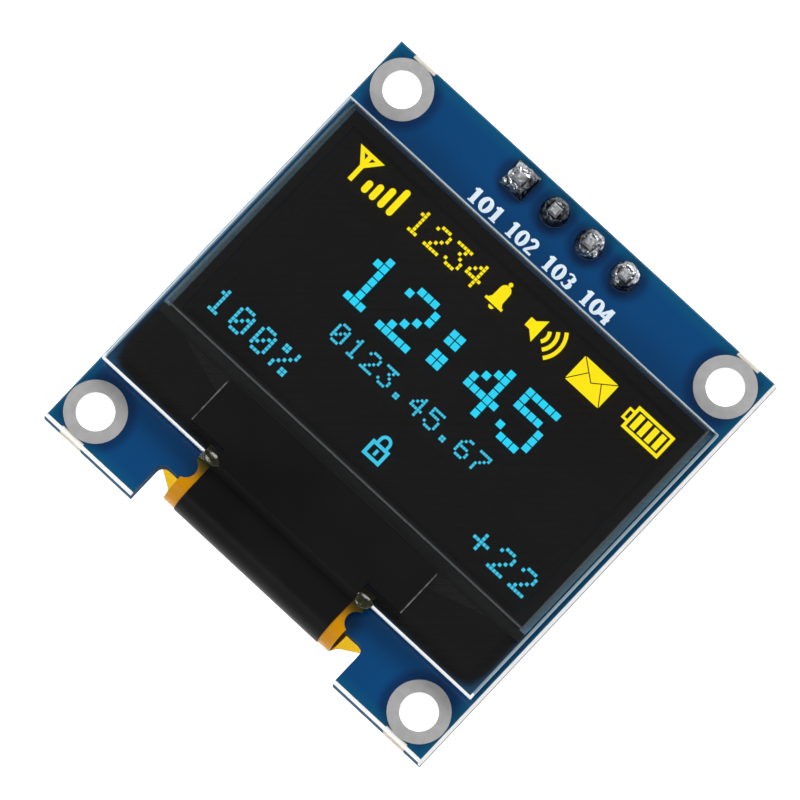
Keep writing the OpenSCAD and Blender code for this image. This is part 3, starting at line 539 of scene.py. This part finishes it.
def ribbon(points, widths, closed=False):
    """Outlines of a line with these widths, as one four-sided piece for each stretch."""
    if not isinstance(widths, (list, tuple)):
        widths = [widths] * len(points)
    count = len(points)
    sides = []
    for i, (x, y) in enumerate(points):
        before = points[i - 1] if i or closed else None
        after = points[(i + 1) % count] if i < count - 1 or closed else None
        steps = []
        for a, b in ((before, (x, y)), ((x, y), after)):
            if a and b:
                steps.append(Vector((b[0] - a[0], b[1] - a[1])).normalized())
        along = sum(steps, Vector((0, 0))).normalized()
        across = Vector((-along.y, along.x))
        # A corner is mitred: its half width grows as the bend gets sharper
        reach = widths[i] / 2 / max(0.5, across.dot(Vector((-steps[0].y, steps[0].x))))
        sides.append(((x + across.x * reach, y + across.y * reach),
                      (x - across.x * reach, y - across.y * reach)))
    stretches = range(count if closed else count - 1)
    return [[sides[i][0], sides[i][1], sides[(i + 1) % count][1], sides[(i + 1) % count][0]]
            for i in stretches]


def inset(outline, gap):
    """An outline drawn in by the same gap along each of its edges."""
    area = sum(a[0] * b[1] - b[0] * a[1] for a, b in zip(outline, outline[1:] + outline[:1]))
    drawn = []
    for before, (x, y), after in zip(outline[-1:] + outline[:-1], outline, outline[1:] + outline[:1]):
        first = Vector((x - before[0], y - before[1])).normalized()
        second = Vector((after[0] - x, after[1] - y)).normalized()
        inward = Vector((-first.y - second.y, first.x + second.x)) * math.copysign(1, area)
        reach = gap / max(0.05, 1 + first.dot(second))
        drawn.append((x + inward.x * reach, y + inward.y * reach))
    return drawn


def arc(x, y, radius, start, end, steps=12):
    """Points on an arc, with its angles in degrees."""
    angles = [math.radians(start + (end - start) * i / steps) for i in range(steps + 1)]
    return [(x + radius * math.cos(a), y + radius * math.sin(a)) for a in angles]


def link_mesh(name, built, material, smooth=False):
    """Turns a built mesh into an object of the scene with one material."""
    data = bpy.data.meshes.new(name)
    built.to_mesh(data)
    built.free()
    data.materials.append(material)
    for polygon in data.polygons:
        polygon.use_smooth = smooth
    piece = bpy.data.objects.new(name, data)
    bpy.context.scene.collection.objects.link(piece)
    print(f"{name}: {len(data.polygons)} faces")
    return piece


def link_piece(name, built, material, smooth=False):
    """A piece of the module: it rides on the board and takes a material slot."""
    piece = link_mesh(name, built, material, smooth)
    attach(piece, "root")
    return piece


STEP = 0.0004 * MM


def make_piece(name, outlines, low, high, material):
    """Builds one piece from outlines in millimetres between two heights in metres. Each
    plate ends a hair below the one before, so that no two that cross share a face."""
    built = bmesh.new()
    for number, outline in enumerate(outlines):
        hair = STEP * (number % 7)
        slab(built, [(x * MM, y * MM) for x, y in outline], low + hair, high - hair)
    return link_piece(name, built, material)


def soften(piece, name, width):
    """Rounds the sharp edges of a piece with a bevel modifier of this width."""
    bevel = piece.modifiers.new(name, "BEVEL")
    bevel.width = width
    bevel.segments = 2
    bevel.limit_method = "ANGLE"

# %% [markdown]
# ## Polariser
# The polariser is a grey plastic film glued on the glass. Its cut edge catches
# the light as a thin grey line. It is made again here, a hair thinner than the
# solid, so that the lit dots can lie on it inside the solid's height. A bevel
# rounds its upper edge, and its rim holds back more light than the rest.

# %% Make the polariser
DOT_T = 0.008 * MM
film_top = polariser_high.z - DOT_T


def rounded(low, high, radius, steps=6):
    """Outline of a rectangle with rounded corners."""
    corners = [(high.x - radius, high.y - radius, 0), (low.x + radius, high.y - radius, 90),
               (low.x + radius, low.y + radius, 180), (high.x - radius, low.y + radius, 270)]
    return [p for x, y, turn in corners for p in arc(x, y, radius, turn, turn + 90, steps)]


polarised, tree = new_material("grey_polarising_film")
edge_line = add(tree, "ShaderNodeMapRange", Value=rim_distance(tree, polariser_low, polariser_high),
                From_Min=0.07 * MM, From_Max=0.15 * MM, To_Min=1.0, To_Max=0.0)
film_colour = add(tree, "ShaderNodeMix", {"data_type": "RGBA"}, in0=edge_line.outputs[0],
                  in6=blotches(tree, 6 * MM, "1f1e1e", "212020"), in7=colour("505456"))
film_alpha = add(tree, "ShaderNodeMapRange", Value=edge_line.outputs[0], To_Min=0.35, To_Max=0.8)
finish_material(tree, Base_Color=film_colour.outputs[2], Alpha=film_alpha.outputs[0],
                Roughness=0.12, IOR=1.49)
outline = [(x / MM, y / MM) for x, y in rounded(polariser_low, polariser_high, 0.2 * MM)]
polariser = make_piece("polariser_film", [outline], polariser_low.z, film_top,
                       polarised)
soften(polariser, "cut_edge", 0.03 * MM)
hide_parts("polariser")

# %% [markdown]
# ## Lit dots
# The panel is a grid of tiny light-emitting dots, yellow in the top band and
# cyan below. A glyph is a pattern of five by seven dots. They shine by
# themselves, so their material gives off light and hardly reflects any.

# %% Light materials
def light_material(name, hex_value, second):
    material, tree = new_material(name)
    tone = blotches(tree, 1.2 * MM, hex_value, second)
    finish_material(tree, Base_Color=colour("050505"), Roughness=0.5, Specular_IOR_Level=0.1,
                    Emission_Color=tone, Emission_Strength=1.0)
    return material


yellow_light = light_material("yellow_emitting_dots", "ffe90a", "fde40e")
cyan_light = light_material("cyan_emitting_dots", "22d6fa", "2ed0f2")
cyan_small = light_material("cyan_emitting_fine_dots", "41c9ea", "3ac2e4")

# %% [markdown]
# Each glyph is written as seven rows, with a # for a lit dot. Only plain
# numerals and a few signs are shown.

# %% Glyphs
GLYPHS = {
    "0": ".###. #...# #..## #.#.# ##..# #...# .###.",
    "1": "..#.. .##.. ..#.. ..#.. ..#.. ..#.. .###.",
    "2": ".###. #...# ....# ...#. ..#.. .#... #####",
    "3": "##### ...#. ..#.. ...#. ....# #...# .###.",
    "4": "...#. ..##. .#.#. #..#. ##### ...#. ...#.",
    "5": "##### #.... ####. ....# ....# #...# .###.",
    "6": "..##. .#... #.... ####. #...# #...# .###.",
    "7": "##### ....# ...#. ..#.. .#... .#... .#...",
    "%": "##..# ##..# ...#. ..#.. .#... #..## #..##",
    "+": "..... ..#.. ..#.. ##### ..#.. ..#.. .....",
    ".": "..... ..... ..... ..... ..... .##.. .##..",
}


def lit_cells(glyph):
    """Column and row of each lit dot of a glyph."""
    rows = GLYPHS[glyph].split()
    return [(c, r) for r, row in enumerate(rows) for c, mark in enumerate(row) if mark == "#"]


def rectangle(left, low, right, high):
    """Outline of a rectangle from its four sides."""
    return [(left, low), (right, low), (right, high), (left, high)]


def square(x, y, size):
    """Outline of a square with this centre."""
    half = size / 2
    return rectangle(x - half, y - half, x + half, y + half)


def dots(text, x, y, pitch, advance, size):
    """Outlines of the dots of a text whose first dot's centre is at x, y."""
    return [square(x + place * advance + column * pitch, y - row * pitch, size)
            for place, glyph in enumerate(text) for column, row in lit_cells(glyph)]

# %% [markdown]
# Every dot is a small square that leaves a dark line to the next one, as the
# electrodes behind the glass do. The clock uses blocks of four dots.

# %% Make the lit figures
LIT_LOW = film_top - 0.004 * MM
LIT_HIGH = polariser_high.z
# The figures are drawn for a glass whose upper edge is at 9.75 mm, and the panel
# is glued a little to the right
DRAWN_TOP = 9.75
TO_RIGHT = 0.12


def make_lit(name, outlines, material):
    """Builds a lit piece, moved so that it hangs from the upper edge of the glass."""
    move = glass_high.y / MM - DRAWN_TOP
    moved = [[(x + TO_RIGHT, y + move) for x, y in outline] for outline in outlines]
    make_piece(name, moved, LIT_LOW, LIT_HIGH, material)


CLOCK_PITCH, CLOCK_TOP, BLOCK = 0.466, 4.567, 0.4
clock = []
for text, x in (("1", -6.647), ("2", -3.877), ("4", 1.653), ("5", 4.433)):
    clock += dots(text, x, CLOCK_TOP, CLOCK_PITCH, advance=0, size=BLOCK)
# The colon is two squares of four blocks each
for x in (-0.617, -0.151):
    for row in (1, 2, 4, 5):
        clock.append(square(x, CLOCK_TOP - row * CLOCK_PITCH, BLOCK))
make_lit("lit_clock", clock, cyan_light)

numerals = dots("0123.45.67", x=-5.38, y=0.49, pitch=0.168, advance=1.12, size=0.145)
make_lit("lit_numerals", numerals, cyan_small)

corner_left = dots("100%", x=-11.32, y=-2.40, pitch=0.22, advance=1.54, size=0.182)
corner_right = dots("+22", x=7.55, y=-2.40, pitch=0.22, advance=1.54, size=0.182)
make_lit("lit_corner_figures", corner_left + corner_right, cyan_small)
top_figures = dots("1234", x=-6.48, y=7.88, pitch=0.215, advance=1.34, size=0.178)
make_lit("lit_top_figures", top_figures, yellow_light)

# %% [markdown]
# ## Lit icons
# The icons are the plain signs that such a display shows: a mast with bars, a
# bell, a loudspeaker, an envelope, a battery and a padlock. Each one is built
# from ribbons and plates.

# %% Make the lit icons
mast = ribbon([(-11.02, 8.11), (-10.39, 7.38), (-9.76, 8.11)], 0.26, closed=True)
mast += ribbon([(-10.39, 8.1), (-10.39, 6.37)], 0.27)
bars = []
BAND_FOOT, BAR_R = 6.35, 0.19
for x, top in ((-9.44, 7.13), (-8.87, 7.37), (-8.26, 7.66), (-7.64, 8.11)):
    bars.append(arc(x, top - BAR_R, BAR_R, 0, 180, 8)
                + arc(x, BAND_FOOT + BAR_R, BAR_R, 180, 360, 8))
make_lit("lit_mast", mast + bars, yellow_light)

bell_x = -0.245
bell = [[(bell_x - 0.52, 6.78), (bell_x + 0.52, 6.78), (bell_x + 0.36, 7.02)]
        + arc(bell_x, 7.62, 0.34, 0, 180, 10) + [(bell_x - 0.36, 7.02)]]
bell += ribbon([(bell_x - 0.6, 6.74), (bell_x + 0.6, 6.74)], 0.16)
bell += [arc(bell_x, 6.56, 0.17, 180, 360, 8), arc(bell_x, 8.08, 0.13, 0, 360, 12)[:-1]]
make_lit("lit_bell", bell, yellow_light)

horn_x, horn_y = 1.72, 7.3
speaker = [[(horn_x, horn_y - 0.28), (horn_x + 0.34, horn_y - 0.28), (horn_x + 0.86, horn_y - 0.74),
            (horn_x + 0.86, horn_y + 0.74), (horn_x + 0.34, horn_y + 0.28), (horn_x, horn_y + 0.28)]]
for radius in (0.55, 1.0, 1.45):
    speaker += ribbon(arc(horn_x + 0.82, horn_y, radius, -40, 40, 10), 0.22)
make_lit("lit_speaker", speaker, yellow_light)

left, right, low, high = 5.20, 7.65, BAND_FOOT, 8.05
mid_x, fold_y = (left + right) / 2, 7.12
flap_x = 0.45
flap_y = fold_y + flap_x * (high - fold_y) / (mid_x - left)
parts = [
    [(left, high), (mid_x, fold_y), (right, high)],
    [(left, low), (mid_x - flap_x, flap_y), (left, high)],
    [(right, high), (mid_x + flap_x, flap_y), (right, low)],
    [(left, low), (right, low), (mid_x + flap_x, flap_y), (mid_x, fold_y), (mid_x - flap_x, flap_y)],
]
envelope = [inset(part, 0.028) for part in parts]
make_lit("lit_envelope", envelope, yellow_light)

battery = ribbon(rectangle(9.235, 6.615, 11.635, 7.905), 0.19, closed=True)
battery += ribbon([(9.14, 7.56), (8.88, 7.56), (8.88, 6.96), (9.14, 6.96)], 0.14)
for x in (9.66, 10.18, 10.70, 11.22):
    battery.append(rectangle(x - 0.17, 6.8, x + 0.17, 7.72))
make_lit("lit_battery", battery, yellow_light)

lock_x = 0.66
lock_body = [(lock_x - 0.5, -3.76), (lock_x - 0.5, -2.98), (lock_x + 0.5, -2.98), (lock_x + 0.5, -3.76)]
shackle = [(lock_x - 0.3, -2.95)] + arc(lock_x, -2.66, 0.3, 180, 0, 8) + [(lock_x + 0.3, -2.95)]
keyhole = rectangle(lock_x - 0.09, -3.56, lock_x + 0.09, -3.2)
lock = ribbon(lock_body, 0.2, closed=True) + ribbon(shackle, 0.18) + [keyhole]
make_lit("lit_padlock", lock, cyan_small)

# %% [markdown]
# ## Printed pin numbers
# Pin numbers are printed on the board in white epoxy ink through a fine screen.
# The ink gives off a little pale blue light of its own, painted light that makes
# it read brighter and cooler. The figures have thick and thin strokes and small
# feet, so each one is a few ribbons whose width changes along the line.

# %% Make the printed figures
# Its emission is painted light, a pale blue glow that brightens the ink
ink, tree = new_material("white_screen_ink")
finish_material(tree, Base_Color=blotches(tree, 0.2 * MM, "ffffff", "f0f4f8"), Roughness=0.6,
                Emission_Color=blotches(tree, 0.2 * MM, "30667c", "2a5a70"), Emission_Strength=1.0,
                Normal=grain(tree, 0.05 * MM, 0.2))

THICK, THIN = 0.23, 0.13
FIGURE_W = 0.62


def printed(figure):
    """Ribbons of one figure in a cell of FIGURE_W by 0.9 mm, for 0 to 4."""
    if figure == "0":
        loop = [(0.31 + 0.21 * math.cos(a), 0.45 + 0.385 * math.sin(a))
                for a in (2 * math.pi * i / 20 for i in range(20))]
        widths = [THIN + (THICK - THIN) * abs(math.cos(2 * math.pi * i / 20)) for i in range(20)]
        return ribbon(loop, widths, closed=True)
    if figure == "1":
        return (ribbon([(0.32, 0.9), (0.32, 0.03)], THICK) + ribbon([(0.14, 0.045), (0.5, 0.045)], 0.09)
                + ribbon([(0.32, 0.85), (0.12, 0.72)], THIN))
    if figure == "2":
        return (ribbon([(0.12, 0.66)] + arc(0.3, 0.66, 0.18, 165, -30, 8)
                       + [(0.12, 0.08)], [0.12] + [THIN + 0.05] * 9 + [THIN])
                + ribbon([(0.08, 0.06), (0.54, 0.06)], 0.13))
    if figure == "3":
        upper = [THIN] + [0.1] * 4 + [THICK] * 3 + [0.1, THIN]
        lower = [THIN] * 2 + [0.12] + [THICK] * 4 + [0.1] * 3 + [THIN]
        return (ribbon(arc(0.29, 0.66, 0.18, 150, -80, 9), upper)
                + ribbon(arc(0.28, 0.27, 0.21, 95, -150, 10), lower))
    return (ribbon([(0.4, 0.9), (0.4, 0.03)], THICK)
            + ribbon([(0.38, 0.88), (0.06, 0.3), (0.56, 0.3)], THIN + 0.02)
            + ribbon([(0.26, 0.04), (0.54, 0.04)], THIN))


INK_T = 0.012 * MM
# The ink starts a hair under the face of the lacquer, so that no gap opens
INK_SINK = 0.002 * MM
labels = []
label_y = glass_high.y / MM + 0.35
# Left and right end of each number, in mm
for number, (left, right) in enumerate(((-5.36, -3.08), (-2.61, -0.58), (0.04, 2.12), (2.76, 4.89)), 1):
    step = (right - left) / 3
    for place, figure in enumerate(f"{100 + number}"):
        for outline in printed(figure):
            start = left + place * step
            labels.append([(start + x * step / FIGURE_W, label_y + y) for x, y in outline])
make_piece("printed_pin_numbers", labels, board_high.z - INK_SINK, board_high.z + INK_T,
           ink)

# %% [markdown]
# ## Solder joints
# Each joint is a small hill of solder round its pin, wrinkled where it froze.
# It is made as rings of points that rise in a rounded slope from the land to the
# top of the solid. Each point is pushed in or out by noise, and the first pin has a square foot.

# %% Make the solder joints
def solder_hill(number):
    """A closed hill of solder on the land of one pin, with a stem in its hole."""
    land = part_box(f"header_pad_{number}")[1].z
    joint_low, joint_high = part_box(f"solder_joint_{number}")
    centre = pin_spots[number - 1]
    rise = joint_high.z - land
    square_land = number == 1
    stem_r = 0.5 * MM
    neck_r = 0.36 * MM
    # Radius and height of each ring, from the bottom of the stem up to the neck
    profile = [(stem_r, joint_low.z), (stem_r, land)]
    profile += [(pad_r, land), (pad_r, land + 0.1 * rise)]
    foot = len(profile) - 1
    steps = 12
    for i in range(1, steps + 1):
        share = i / steps
        profile.append((neck_r + (pad_r - neck_r) * math.cos(share * math.pi / 2) ** 0.9,
                        land + rise * (0.1 + 0.9 * math.sin(share * math.pi / 2) ** 1.3)))
    around = 56
    built = bmesh.new()
    rings = []
    for step, (radius, z) in enumerate(profile):
        ring = []
        for i in range(around):
            angle = 2 * math.pi * i / around
            reach = radius
            if square_land and step in (foot - 1, foot):
                reach = radius / max(abs(math.cos(angle)), abs(math.sin(angle)))
            elif square_land and step > foot:
                corner = radius / max(abs(math.cos(angle)), abs(math.sin(angle)))
                fade = 1 - (step - foot) / steps
                reach = radius + (corner - radius) * fade
            point = Vector((reach * math.cos(angle), reach * math.sin(angle), z))
            if step > foot:
                where = Vector((point.x, point.y, point.z)) / (0.3 * MM) + Vector((number * 7.3, 0, 0))
                wrinkle = noise.noise(where) + 0.55 * noise.noise(where * 2.3)
                share = (step - foot) / steps
                swell = 0.09 * MM * wrinkle * math.sin(math.pi * min(1, share) * 0.9)
                point.x += swell * math.cos(angle)
                point.y += swell * math.sin(angle)
                point.z = min(joint_high.z, point.z + 0.5 * swell)
            ring.append(built.verts.new((centre.x + point.x, centre.y + point.y, point.z)))
        rings.append(ring)
    for lower, upper in zip(rings, rings[1:]):
        for i in range(around):
            j = (i + 1) % around
            built.faces.new((lower[i], lower[j], upper[j], upper[i]))
    built.faces.new(rings[0][::-1])
    built.faces.new(rings[-1])
    piece = link_piece(f"solder_hill_{number}", built, solder, smooth=True)
    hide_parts(f"solder_joint_{number}")


for number in range(1, 5):
    solder_hill(number)

# %% [markdown]
# ## Resin drops
# Where the bead of resin ends, at both sides of the flexible circuit, a drop of
# it creeps over the edge of the glass and cures to a smooth olive dome. Each
# drop is a flattened ball whose outline is pushed in and out a little.

# %% Make the resin drops
drop_resin, tree = new_material("cured_resin_drop")
finish_material(tree, Base_Color=blotches(tree, 0.35 * MM, "15160f", "35341c"), Roughness=0.1, IOR=1.5,
                Normal=grain(tree, 0.25 * MM, 0.3))


def resin_drop(name, centre, length, width, height):
    """A flattened closed drop along the edge of the glass, with an uneven outline."""
    built = bmesh.new()
    bmesh.ops.create_uvsphere(built, u_segments=48, v_segments=24, radius=1.0)
    for vert in built.verts:
        swell = 1 + 0.3 * noise.noise(vert.co * 1.1 + Vector((centre.x, 0, 0)) / MM)
        flat = height if vert.co.z > 0 else 0.3 * height
        vert.co = centre + Vector((vert.co.x * length / 2 * swell, vert.co.y * width / 2 * swell,
                                   vert.co.z * flat))
    link_piece(name, built, drop_resin, smooth=True)


# Side, place beyond the tape, place above the edge of the glass, length and width, in mm
for name, side, beyond, above, length, width in (("resin_drop_left", -1, 0.16, 0.02, 1.1, 0.62),
                                                 ("resin_drop_right", 1, 0.5, -0.08, 1.0, 0.72)):
    spot = Vector((side * (STEM_X + beyond * MM), glass_low.y + above * MM, glass_high.z))
    resin_drop(name, spot, length * MM, width * MM, 0.12 * MM)

# %% [markdown]
# ## Soft edges on hard solids
# No real edge is perfectly sharp. A bevel modifier rounds the visible edges of
# the solids by a few hundredths of a millimetre, which is enough to catch light
# and leaves the mesh of the solid as it is.

# %% Bevels
for name, width in (("front_glass", 0.05), ("header_body", 0.05),
                    ("regulator_body", 0.04), ("diode_body", 0.04)):
    soften(nodes[name], "soft_edge", width * MM)
    print(f"{name}: edges rounded by {width} mm")

# %% [markdown]
# ## Floor, light and camera
# The module stands on its four pins over a white floor. The floor shows as
# plain white to the camera and in reflections, and it mixes in a share of
# diffuse white that keeps a soft shadow. The studio has pale walls and a dim
# ceiling, so that the flat display mirrors something dark. Two soft lamps from
# above give the solder its glints, and a low one lights the bend of the tape.

# %% Floor
HALF_FLOOR = 0.6
paper, tree = new_material("white_paper_floor")
path = add(tree, "ShaderNodeLightPath")
seen = add(tree, "ShaderNodeMath", {"operation": "MAXIMUM"},
           in0=path.outputs["Is Camera Ray"], in1=path.outputs["Is Glossy Ray"])
seen = add(tree, "ShaderNodeMath", {"operation": "MAXIMUM"},
           in0=seen.outputs[0], in1=path.outputs["Is Transmission Ray"])
glow = add(tree, "ShaderNodeMath", {"operation": "MULTIPLY"}, in0=seen.outputs[0], in1=0.86)
finish_material(tree, Base_Color=blotches(tree, 40 * MM, "f4f4f4", "fafafa"), Roughness=0.9,
                Specular_IOR_Level=0.0, Emission_Color=colour("ffffff"),
                Emission_Strength=glow.outputs[0])
built = bmesh.new()
built.faces.new([built.verts.new((x * HALF_FLOOR, y * HALF_FLOOR, cad_low.z))
                 for x, y in ((-1, -1), (1, -1), (1, 1), (-1, 1))])
floor = link_mesh("floor", built, paper)
floor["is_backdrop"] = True

# %% Studio light
scene = bpy.context.scene
world = bpy.data.worlds.new("studio")
scene.world = world
world.use_nodes = True
tree = world.node_tree
tree.nodes.clear()
direction = add(tree, "ShaderNodeTexCoord").outputs["Generated"]
upward = add(tree, "ShaderNodeSeparateXYZ", Vector=direction)
room = add(tree, "ShaderNodeMapRange", {"interpolation_type": "SMOOTHSTEP"}, Value=upward.outputs[2],
           From_Min=0.35, From_Max=0.95, To_Min=0.85, To_Max=0.14)
camera_sees = add(tree, "ShaderNodeLightPath").outputs["Is Camera Ray"]
level = add(tree, "ShaderNodeMath", {"operation": "MAXIMUM"}, in0=room.outputs[0], in1=camera_sees)
sky = add(tree, "ShaderNodeBackground", Color=colour("ffffff"), Strength=level.outputs[0])
add(tree, "ShaderNodeOutputWorld", Surface=sky.outputs[0])

# The lamps and the camera aim a little to the lower left of the board's middle
target = Vector((-0.39 * MM, -0.40 * MM, board_high.z))


def lamp(name, azimuth, elevation, distance, size, power):
    """A square soft lamp that faces the target. Azimuth 0 is over +X and 90 over +Y,
    both angles are in degrees, distance and size in metres and power in watts."""
    a, e = math.radians(azimuth), math.radians(elevation)
    data = bpy.data.lights.new(name, "AREA")
    data.size = size
    data.energy = power
    made = bpy.data.objects.new(name, data)
    scene.collection.objects.link(made)
    toward = Vector((math.cos(a) * math.cos(e), math.sin(a) * math.cos(e), math.sin(e)))
    made.location = target + distance * toward
    made.rotation_euler = (target - made.location).to_track_quat("-Z", "Y").to_euler()
    print(f"{name}: {power} W from {elevation} degrees up")


lamp("key_lamp", 100, 48, 0.5, 0.22, 1.3)
lamp("fill_lamp", 238, 42, 0.5, 0.18, 0.75)
lamp("edge_lamp", 338, 13, 0.5, 0.2, 0.22)

# %% Camera
tilt = math.radians(9)
# The view's right and up directions as they lie on the board
right = Vector((0.730, 0.683, 0.0))
up = Vector((-0.683, 0.730, 0.0))
back = math.cos(tilt) * Vector((0, 0, 1)) - math.sin(tilt) * up
camera_data = bpy.data.cameras.new("camera")
camera = bpy.data.objects.new("camera", camera_data)
scene.collection.objects.link(camera)
camera_data.sensor_width = 36.0
distance = 0.6
view_width = 42.45 * MM
camera_data.lens = camera_data.sensor_width * distance / view_width
camera.location = target + distance * back
axis_y = (up - up.dot(back) * back).normalized()
axis_x = axis_y.cross(back)
camera.rotation_euler = Matrix((axis_x, axis_y, back)).transposed().to_euler()
camera_data.clip_start = 0.01
camera_data.clip_end = 10.0
scene.camera = camera
scene.view_settings.view_transform = "Standard"
print("lens", round(camera_data.lens, 1), "mm")

# %% [markdown]
# ## Check and finish
# The box of the visual model is compared with the CAD model's, and how far it
# grew past it on each axis is printed.

# %% Sizes and finish
low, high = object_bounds()
print("grown by, in mm:", [round(max(a - b, c - d) / MM, 4)
                           for a, b, c, d in zip(cad_low, low, high, cad_high)])
